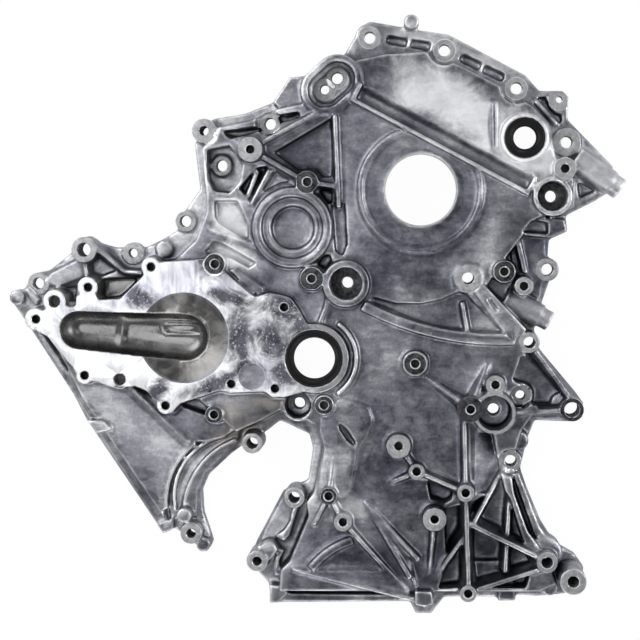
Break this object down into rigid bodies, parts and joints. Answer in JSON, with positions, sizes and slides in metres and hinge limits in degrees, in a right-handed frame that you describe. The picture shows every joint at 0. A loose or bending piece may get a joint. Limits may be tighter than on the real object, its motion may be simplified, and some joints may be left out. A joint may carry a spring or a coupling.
{
  "type": "timing cover",
  "caption": "Die-cast timing cover with a ribbed outer side, a machined pump pad, pipe nipples and pressed-in shaft seals.",
  "frame": {"origin": "middle of the outline's box, on the engine-side gasket face", "axes": "+Z away from the engine, +X to the right and +Y up as the outer side is looked at on the engine"},
  "size_m": [0.5018, 0.486, 0.048],
  "materials": {
    "casting": "as cast, with milled faces",
    "seal_rubber": "smooth black rubber",
    "spring_steel": "drawn wire"
  },
  "bodies": {
    "root": {"timing_cover": "casting", "crank_seal": "seal_rubber", "small_seal": "seal_rubber", "crank_seal_spring": "spring_steel", "small_seal_spring": "spring_steel"}
  },
  "joints": []
}
